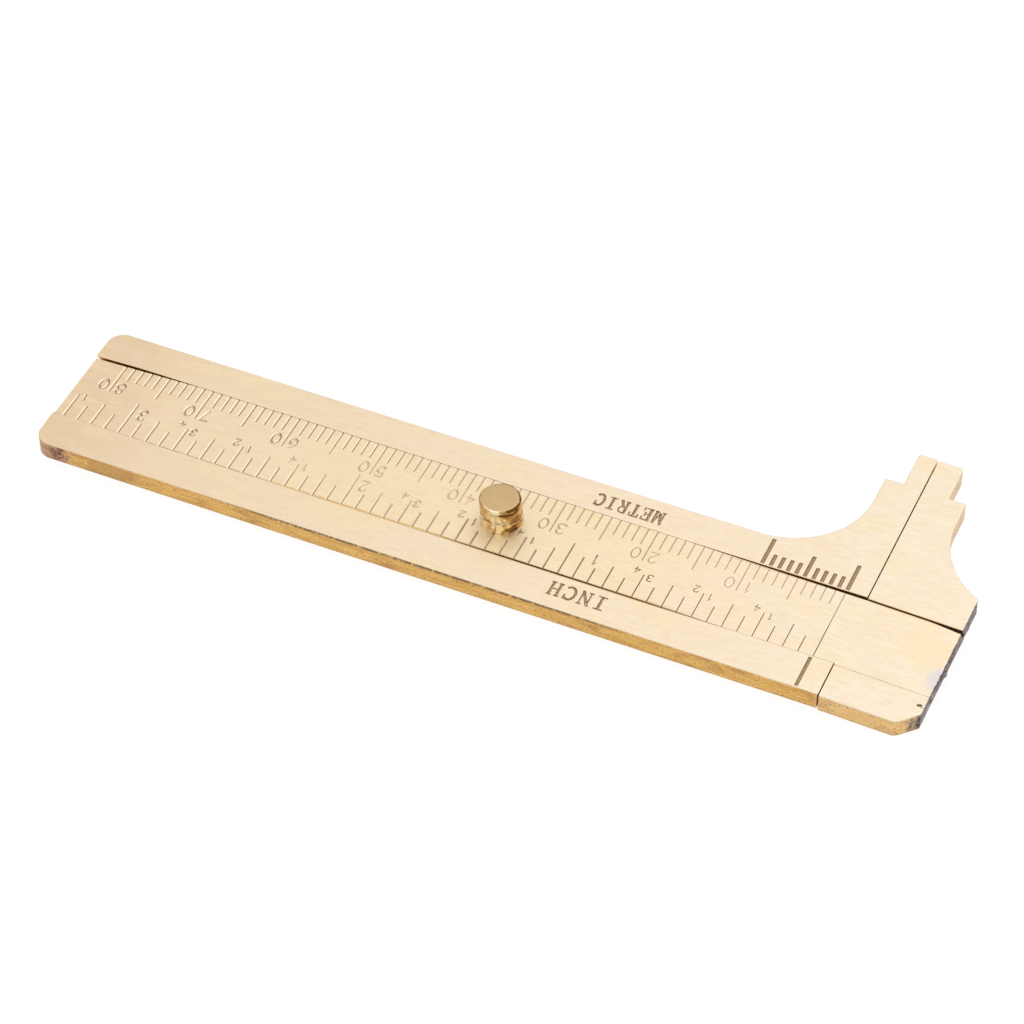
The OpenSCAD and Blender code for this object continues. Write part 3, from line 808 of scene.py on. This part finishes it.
class Paint:
    """One metal: its nodes are placed by short calls, which return sockets."""

    def __init__(self, name):
        self.colour = None
        self.material = bpy.data.materials.new(name)
        self.material.use_nodes = True
        self.tree = self.material.node_tree
        self.shader = self.tree.nodes["Principled BSDF"]
        self.shader.inputs["Metallic"].default_value = 1
        coordinates = self.node("ShaderNodeTexCoord").outputs
        place, self.normal = coordinates["Object"], coordinates["Normal"]
        scaled = self.node("ShaderNodeVectorMath", {0: place, 1: (1 / MM,) * 3}, operation="MULTIPLY")
        self.mm = scaled.outputs[0]
        self.x, self.y, self.z = self.node("ShaderNodeSeparateXYZ", {0: self.mm}).outputs

    def node(self, kind, inputs=None, **settings):
        """A node; an input is a socket to link from, or a plain value."""
        n = self.tree.nodes.new(kind)
        for key, value in settings.items():
            setattr(n, key, value)
        for key, value in (inputs or {}).items():
            if isinstance(value, bpy.types.NodeSocket):
                self.tree.links.new(value, n.inputs[key])
            else:
                n.inputs[key].default_value = value
        return n

    def noise(self, stretch, detail=3, seed=0):
        """Noise from 0 to 1; stretch is how many grains fit in a millimetre along each axis."""
        place = {"Vector": self.mm, "Location": (seed,) * 3, "Scale": stretch}
        spot = self.node("ShaderNodeMapping", place).outputs[0]
        grain = {"Vector": spot, "Scale": 1, "Detail": detail, "Roughness": 0.55}
        return self.node("ShaderNodeTexNoise", grain).outputs["Fac"]

    def ramp(self, value, start, end, low=0.0, high=1.0):
        """Runs from low to high while a value runs from start to end, and stays level beyond both."""
        return self.node("ShaderNodeMapRange", {0: value, 1: start, 2: end, 3: low, 4: high}).outputs[0]

    def math(self, operation, a, b=0.0):
        return self.node("ShaderNodeMath", {0: a, 1: b}, operation=operation).outputs[0]

    def times(self, *shares):
        """The product of several shares."""
        product = shares[0]
        for share in shares[1:]:
            product = self.math("MULTIPLY", product, share)
        return product

    def off(self, value, middle):
        """How far a value is from a middle."""
        return self.math("ABSOLUTE", self.math("SUBTRACT", value, middle))

    def band(self, value, start, full, still_full, end):
        """1 while a value is between full and still_full, falling to 0 at start and end."""
        return self.times(self.ramp(value, start, full), self.ramp(value, end, still_full))

    def mix(self, share, a, b):
        """Mixes two colours, which are sockets or plain (r, g, b)."""
        n = self.node("ShaderNodeMix", {0: share}, data_type="RGBA")
        for key, value in (("A", a), ("B", b)):
            socket = [i for i in n.inputs if i.name == key and i.type == "RGBA"][0]
            if isinstance(value, bpy.types.NodeSocket):
                self.tree.links.new(value, socket)
            else:
                socket.default_value = (*value, 1)
        return [o for o in n.outputs if o.type == "RGBA"][0]

    def spot(self, x, y, rx, ry, ragged, seed):
        """1 at a place on the face, falling to 0 on an ellipse around it, with an uneven edge."""
        across = self.math("DIVIDE", self.math("SUBTRACT", self.x, x), rx)
        along = self.math("DIVIDE", self.math("SUBTRACT", self.y, y), ry)
        far = self.math("ADD", self.times(across, across), self.times(along, along))
        uneven = self.ramp(self.noise((2, 2, 2), seed=seed), 0.3, 0.7, -ragged, ragged)
        return self.ramp(self.math("ADD", far, uneven), 1, 0.35)

    def tint(self, share, colour):
        """Mixes a share of a colour into the metal's own."""
        self.colour = self.mix(share, self.colour, colour)

    def finish(self, roughness, height=None, strength=0.0, depth=0.0):
        """Links the colour, the roughness and a bump, whose depth is in millimetres."""
        links = self.tree.links
        links.new(self.colour, self.shader.inputs["Base Color"])
        if isinstance(roughness, bpy.types.NodeSocket):
            links.new(roughness, self.shader.inputs["Roughness"])
        else:
            self.shader.inputs["Roughness"].default_value = roughness
        if height:
            bump = self.node("ShaderNodeBump", {"Strength": strength, "Distance": depth * MM,
                                                "Height": height})
            links.new(bump.outputs[0], self.shader.inputs["Normal"])
        return self.material


# Colours of the brass, as linear red, green and blue
PALE = (0.925, 0.785, 0.60)
TAN = (0.87, 0.69, 0.475)
CREAM = (0.925, 0.81, 0.645)
STRAW = (0.93, 0.775, 0.49)
ROSE = (0.93, 0.765, 0.585)
SHADE = (0.74, 0.56, 0.36)
DUN = (0.79, 0.61, 0.40)
# GOLD and AMBER are painted shade along the gaps, not colours of the brass itself
GOLD = (0.50, 0.28, 0.08)
AMBER = (0.76, 0.52, 0.22)
UMBER = (0.16, 0.08, 0.03)
COPPER = (0.32, 0.16, 0.13)
LEAD = (0.32, 0.29, 0.31)


def brushed_face(name, streaked=0.0, smear=False):
    """Pale top face: tan at the closed end, with straw and rose patches and lengthwise brushing.

    A streaked face is more golden along its middle, and a smear of tin lies at its soldered end.
    """
    p = Paint(name)
    p.colour = p.mix(p.ramp(p.x, -25, -90), PALE, TAN)
    p.tint(p.ramp(p.x, -12, 0), CREAM)
    p.tint(p.ramp(p.x, -72, -81, 0, 0.7), DUN)
    patch = p.noise((0.16, 0.3, 0.3), 2, seed=3.3)
    p.tint(p.ramp(patch, 0.52, 0.68, 0, 0.45), STRAW)
    p.tint(p.ramp(patch, 0.46, 0.32, 0, 0.35), ROSE)
    waves = p.noise((0.1, 1.1, 1.1), 3, seed=23)
    p.tint(p.ramp(waves, 0.45, 0.7, 0, 0.1 + streaked), STRAW)
    golden = p.band(p.x, -62, -54, -20, -14)
    p.tint(p.times(golden, streaked), STRAW)
    wide = p.noise((0.8, 5, 5), 3, seed=1)
    fine = p.noise((2.4, 12, 12), 2, seed=7)
    strokes = p.math("ADD", p.times(wide, 0.5), p.times(fine, 0.5))
    p.tint(p.ramp(strokes, 0.56, 0.38, 0, 0.25), SHADE)
    drawn = p.noise((0.7, 3.6, 3.6), 3, seed=17)
    p.tint(p.ramp(drawn, 0.54, 0.36, 0, 0.18), SHADE)
    # painted shade along the gaps between the parts: amber towards the closed end, dark gold towards the
    # head
    p.tint(painted_gap_shade(p), p.mix(p.ramp(p.x, -34, -42), GOLD, AMBER))
    rough = p.ramp(strokes, 0.3, 0.7, 0.44, 0.56)
    if smear:
        tin = p.times(p.spot(HEAD_END + 0.2, -2.8, 1.6, 2.0, 0.35, seed=5),
                      p.ramp(p.noise((5, 5, 5), 2, seed=24), 0.35, 0.6, 0.4, 1))
        p.tint(tin, (0.72, 0.69, 0.74))
        warm = p.spot(HEAD_END - 2.4, 0.7, 3.2, 2.6, 0.5, seed=9)
        p.tint(p.times(warm, 0.4), (0.95, 0.74, 0.43))
    return p.finish(rough, strokes, 0.2, 0.008)


def painted_gap_shade(p):
    """How much painted shade lies on the eased edges along the gaps beside the bar and between the parts,
    where the gaps are in shade.
    """
    plain = p.ramp(p.off(p.y, -BAR_EDGE), 0.24, 0.1)
    plain = p.times(plain, p.band(p.x, -64, -52, -17, -11))
    pinched = p.ramp(p.x, -83, -76, BAR_EDGE - 0.3, BAR_EDGE - 0.07)
    open_end = p.times(p.ramp(p.off(p.y, pinched), 0.27, 0.17), p.ramp(p.x, -74, -80))
    neck = p.ramp(p.off(p.y, BAR_EDGE - 0.12), 0.3, 0.12)
    neck = p.times(neck, p.band(p.x, -14, -6, 2.2, 2.6))
    in_line = p.math("ADD", p.y, p.ramp(p.x, JAW_PLANE, HEAD_END, HEAD_DROP, head_shift(HEAD_END)))
    inner = p.ramp(p.off(in_line, BAR_EDGE - 0.08), 0.24, 0.12)
    inner = p.times(inner, p.ramp(p.x, 2.2, 2.6))
    jaw = p.math("MAXIMUM", open_end, p.math("MAXIMUM", neck, inner))
    return p.times(p.math("MAXIMUM", plain, jaw), 0.8)


def sawn_edge(name):
    """Orange milled sides with drawn lines, brown specks, a copper patch and greyed, soldered ends; the
    faces that face +X get a painted highlight, and painted shade lies along the bottom edge and just under
    the top edge.
    """
    p = Paint(name)
    lines = p.noise((0.35, 1.5, 7), 4, seed=2)
    p.colour = p.mix(p.ramp(lines, 0.35, 0.65), (0.61, 0.335, 0.09), (0.86, 0.555, 0.18))
    # painted highlight: the faces that face +X are painted paler
    across = p.node("ShaderNodeSeparateXYZ", {0: p.normal}).outputs[0]
    p.tint(p.ramp(across, 0.75, 0.95, 0, 0.8), (0.72, 0.52, 0.33))
    stain = p.noise((0.5, 0.5, 1), 3, seed=4)
    p.tint(p.ramp(stain, 0.53, 0.68, 0, 0.6), (0.45, 0.23, 0.09))
    grain = p.noise((4.5, 4.5, 8), 3, seed=18)
    p.tint(p.ramp(grain, 0.52, 0.34, 0, 0.6), (0.44, 0.23, 0.08))
    p.tint(p.ramp(grain, 0.56, 0.7, 0, 0.5), (0.88, 0.61, 0.29))
    p.tint(p.ramp(p.x, 1.5, 2.8, 0, 0.3), (0.90, 0.68, 0.42))
    # painted shade: the sides darken towards the bottom edge, next to the floor
    p.tint(p.ramp(p.z, 0.3, 0.05, 0, 0.4), (0.30, 0.19, 0.09))
    specks = p.ramp(p.noise((3.5, 3.5, 5), 3, seed=8), 0.59, 0.7)
    p.tint(p.times(specks, 0.8), UMBER)
    # painted shadow: an uneven dark line just under the top edge, along the middle of the sides, the shade
    # of the raised lip there
    painted_burr_shadow = p.times(p.ramp(p.z, TOP - 0.55, TOP - 0.25),
                   p.ramp(p.noise((2.2, 2, 2), 3, seed=15), 0.36, 0.5))
    p.tint(p.times(painted_burr_shadow, p.band(p.x, -64, -56, -24, -16)), (0.20, 0.12, 0.07))
    front = p.ramp(p.y, -4, -8)
    dull = p.times(p.spot(-75, PLAIN_EDGE, 3.5, 4, 0.6, seed=10), front)
    p.tint(p.times(dull, 0.5), (0.40, 0.22, 0.09))
    patch = p.times(p.spot(-81.3, PLAIN_EDGE, 2.3, 4, 0.7, seed=6), front)
    tinge = p.mix(p.ramp(p.noise((1.2, 1.2, 1.6), 3, seed=25), 0.4, 0.6), COPPER, (0.50, 0.30, 0.19))
    p.tint(p.times(patch, 0.85), tinge)
    mark = p.times(p.spot(-80.9, PLAIN_EDGE, 1, 4, 0.8, seed=26), front,
                   p.ramp(p.noise((3, 3, 4), 2, seed=27), 0.44, 0.56))
    p.tint(p.times(mark, 0.8), (0.12, 0.05, 0.04))
    uneven = p.ramp(p.noise((1, 1.4, 1.4), 3, seed=12), 0.3, 0.7, -0.5, 0.5)
    end = p.ramp(p.math("ADD", p.x, uneven), HEAD_END - 1.2, HEAD_END - 0.4)
    soot = p.ramp(p.noise((1.6, 1.6, 2.4), 3, seed=13), 0.4, 0.6)
    p.tint(end, p.mix(soot, (0.07, 0.05, 0.045), (0.25, 0.20, 0.19)))
    height = p.math("ADD", lines, p.times(p.noise((2, 2, 5), 3, seed=14), 0.5))
    return p.finish(p.ramp(lines, 0.3, 0.7, 0.34, 0.5), height, 0.5, 0.03)


def plain_back(name):
    """The back and the channel: duller brass with fine drawing marks and a little tarnish."""
    p = Paint(name)
    strokes = p.noise((0.5, 9, 9), 3, seed=21)
    p.colour = p.mix(p.ramp(strokes, 0.35, 0.65), (0.74, 0.55, 0.31), (0.82, 0.63, 0.38))
    tarnish = p.noise((0.25, 0.3, 0.3), 3, seed=22)
    p.tint(p.ramp(tarnish, 0.5, 0.7, 0, 0.35), (0.52, 0.36, 0.20))
    return p.finish(p.ramp(strokes, 0.3, 0.7, 0.34, 0.5), strokes, 0.3, 0.015)


def struck_groove(name):
    """Walls of the fine lines: painted light on the walls that face +X, painted shade on the walls that face
    -X, and all brown near the head.
    """
    p = Paint(name)
    # painted light and shade: walls facing +X are painted pale, walls facing -X dark brown
    facing = p.node("ShaderNodeSeparateXYZ", {0: p.normal}).outputs[0]
    sides = p.mix(p.ramp(facing, -0.15, 0.1), (0.30, 0.18, 0.10), (0.90, 0.74, 0.54))
    dirt = p.noise((3, 3, 3), 2, seed=31)
    along = p.math("ADD", p.ramp(p.x, -50, -20), p.ramp(dirt, 0.3, 0.7, -0.15, 0.15))
    brown = p.mix(p.ramp(p.y, -0.6, 0.2), (0.29, 0.18, 0.10), (0.59, 0.43, 0.27))
    p.colour = p.mix(along, sides, brown)
    faint = p.times(p.ramp(p.off(p.x, -48), 13, 9), p.ramp(p.math("ABSOLUTE", p.y), 2.6, 2.2))
    p.tint(p.times(faint, 0.6), (0.76, 0.60, 0.42))
    return p.finish(0.45)


def stamped_brown(name):
    """Floors of the broad marks and the unit words: dull brown with grit, and pale specks, away from the
    head, that are painted highlights on the stamped relief.
    """
    p = Paint(name)
    grit = p.noise((7, 7, 7), 3, seed=41)
    p.colour = p.mix(p.ramp(grit, 0.35, 0.65), (0.34, 0.22, 0.12), (0.50, 0.36, 0.21))
    # painted highlights: pale specks on the stamped relief, away from the head
    painted_glints = p.times(p.ramp(p.noise((4.5, 4.5, 4.5), 2, seed=42), 0.5, 0.6), p.ramp(p.x, -14, -16))
    p.tint(p.times(painted_glints, 0.55), (0.80, 0.62, 0.42))
    return p.finish(0.55, grit, 0.4, 0.02)


def knob_side(name):
    """Polished turned brass: fine rings, a painted cream highlight on one side, painted dark brown
    reflections on the other, a painted dark band under the shoulder and painted shade in the fine groove.
    """
    p = Paint(name)
    rings = p.noise((0.4, 0.4, 16), 3, seed=51)
    p.colour = p.mix(p.ramp(rings, 0.3, 0.7), (0.52, 0.31, 0.09), (0.74, 0.50, 0.20))
    uneven = p.ramp(p.noise((0.9, 0.9, 1.3), 3, seed=52), 0.3, 0.7, -0.45, 0.45)
    turned = p.math("ADD", p.times(p.math("SUBTRACT", p.x, KNOB_X), 0.91 / KNOB_R),
                    p.times(p.y, 0.41 / KNOB_R))
    across = p.math("ADD", turned, uneven)
    # painted highlight: a cream band on the side towards the closed end
    p.tint(p.band(across, -0.85, -0.5, -0.05, 0.15), (1.0, 0.87, 0.60))
    # painted reflections: dark brown bands on the side towards the jaws
    bands = p.ramp(p.noise((0.5, 0.5, 2.2), 2, seed=53), 0.42, 0.56)
    shade = p.times(p.band(across, 0.12, 0.3, 0.8, 1.0), bands)
    p.tint(shade, (0.16, 0.07, 0.02))
    # painted reflection: a dark band on the front of the drum just under the shoulder
    top = KNOB_HIGH.z
    line = p.times(p.band(p.z, top - 0.75, top - 0.62, top - 0.52, top - 0.4),
                   p.band(turned, -0.3, -0.1, 0.35, 0.5))
    p.tint(line, (0.10, 0.04, 0.01))
    # painted shade in the fine groove above the foot, patchy
    groove = p.ramp(p.off(p.z, TOP + KNOB_FOOT_H + 0.06), 0.17, 0.08)
    patchy_shade = p.ramp(p.noise((1.1, 1.1, 1), 2, seed=54), 0.38, 0.6, 0.15, 0.95)
    p.tint(p.times(groove, patchy_shade), (0.28, 0.14, 0.04))
    return p.finish(p.ramp(rings, 0.3, 0.7, 0.14, 0.26), rings, 0.35, 0.02)


def knob_top(name):
    """Faced top of the knob: satin, with faint turning rings around its middle."""
    p = Paint(name)
    kind = "ShaderNodeVectorMath"
    centred = p.node(kind, {0: p.mm, 1: (KNOB_X, 0, 0)}, operation="SUBTRACT").outputs[0]
    flat = p.node(kind, {0: centred, 1: (1, 1, 0)}, operation="MULTIPLY").outputs[0]
    far = p.node(kind, {0: flat}, operation="LENGTH").outputs["Value"]
    spun = p.node("ShaderNodeTexNoise", {"W": far, "Scale": 9, "Detail": 3}, noise_dimensions="1D")
    rings = spun.outputs["Fac"]
    p.colour = p.mix(p.ramp(rings, 0.3, 0.7), (0.57, 0.40, 0.19), (0.63, 0.445, 0.225))
    patch = p.noise((0.6, 0.9, 0.6), 3, seed=61)
    p.tint(p.ramp(patch, 0.48, 0.64, 0, 0.6), (0.72, 0.44, 0.25))
    p.tint(p.ramp(patch, 0.44, 0.3, 0, 0.4), (0.52, 0.40, 0.22))
    return p.finish(p.ramp(rings, 0.3, 0.7, 0.32, 0.42), rings, 0.15, 0.01)


def soldered_seam(name):
    """The film where it shows in the seam: rubbed over with brass."""
    p = Paint(name)
    rubbed = p.ramp(p.noise((1.2, 6, 6), 3, seed=71), 0.35, 0.65)
    p.colour = p.mix(rubbed, (0.62, 0.48, 0.30), (0.86, 0.70, 0.48))
    return p.finish(0.4)


def solder_lumps(name):
    """Dull grey solder with dark flux in its hollows."""
    p = Paint(name)
    lumps = p.noise((2.2, 2.2, 2.6), 4, seed=81)
    p.colour = p.mix(p.ramp(lumps, 0.38, 0.62), (0.13, 0.10, 0.10), LEAD)
    brown = p.noise((1.3, 1.1, 1.6), 3, seed=82)
    p.tint(p.ramp(brown, 0.5, 0.64, 0, 0.8), (0.28, 0.16, 0.10))
    return p.finish(p.ramp(lumps, 0.3, 0.7, 0.6, 0.36), lumps, 0.6, 0.08)


def floor_paint():
    """White paper, which glows a little so that it stays white in the shade."""
    material = bpy.data.materials.new("white_floor")
    material.use_nodes = True
    shader = material.node_tree.nodes["Principled BSDF"]
    shader.inputs["Base Color"].default_value = (0.2, 0.2, 0.2, 1)
    shader.inputs["Emission Color"].default_value = (1, 1, 1, 1)
    shader.inputs["Emission Strength"].default_value = 0.85
    shader.inputs["Roughness"].default_value = 0.9
    shader.inputs["Specular IOR Level"].default_value = 0
    return material


# ---- floor, light and camera ----

def make_floor():
    """A square floor just under the back face; its half side is in metres."""
    half = 1.6
    data = bpy.data.meshes.new("floor")
    corners = [(x * half, y * half, -0.02 * MM) for x, y in ((-1, -1), (1, -1), (1, 1), (-1, 1))]
    data.from_pydata(corners, [], [(0, 1, 2, 3)])
    data.materials.append(floor_paint())
    floor = bpy.data.objects.new("floor", data)
    bpy.context.scene.collection.objects.link(floor)


def make_sky():
    """A white dome that is bright overhead and dim near the horizon."""
    world = bpy.data.worlds.new("studio")
    bpy.context.scene.world = world
    world.use_nodes = True
    nodes, links = world.node_tree.nodes, world.node_tree.links
    spot = nodes.new("ShaderNodeTexCoord")
    split = nodes.new("ShaderNodeSeparateXYZ")
    links.new(spot.outputs["Generated"], split.inputs[0])
    level = nodes.new("ShaderNodeMapRange")
    level.interpolation_type = "SMOOTHSTEP"
    for key, value in zip(("From Min", "From Max", "To Min", "To Max"), (0.1, 0.6, 0.3, 1.03)):
        level.inputs[key].default_value = value
    links.new(split.outputs["Z"], level.inputs[0])
    links.new(level.outputs[0], nodes["Background"].inputs["Strength"])
    nodes["Background"].inputs["Color"].default_value = (1, 1, 1, 1)


def aim(thing, target):
    """Points a light or a camera at a place."""
    thing.rotation_euler = (Vector(target) - thing.location).to_track_quat("-Z", "Y").to_euler()


def make_light(name, place, target, size, power):
    """A square soft light, in metres and watts."""
    lamp = bpy.data.lights.new(name, "AREA")
    lamp.size, lamp.energy = size, power
    light = bpy.data.objects.new(name, lamp)
    light.location = place
    aim(light, target)
    bpy.context.scene.collection.objects.link(light)


def make_camera():
    """A long lens that looks down at the knob side of the closed caliper."""
    camera = bpy.data.objects.new("camera", bpy.data.cameras.new("camera"))
    camera.data.sensor_width, camera.data.lens = 36, 125.5
    camera.data.clip_start = 0.01
    camera.location = Vector((67.7, -228.3, 257.9)) * MM
    aim(camera, Vector((-34.5, 1.3, TOP)) * MM)
    bpy.context.scene.collection.objects.link(camera)
    bpy.context.scene.camera = camera


face = brushed_face("brushed_face")
bar_face = brushed_face("brushed_bar_face", streaked=0.42, smear=True)
others = [sawn_edge("sawn_edge"), plain_back("plain_back"), struck_groove("groove"), stamped_brown("stamp")]
make_frame([face] + others)
make_head([face] + others)
make_bar([bar_face] + others)
make_knob([knob_side("knob_side"), knob_top("knob_top")])
make_solder([soldered_seam("soldered_seam"), solder_lumps("solder_lumps")])
make_floor()
make_sky()
make_light("softbox", (0.25, 0.45, 0.75), (-0.035, 0, 0), 0.7, 1)
make_camera()
bpy.context.scene.view_settings.view_transform = "Standard"
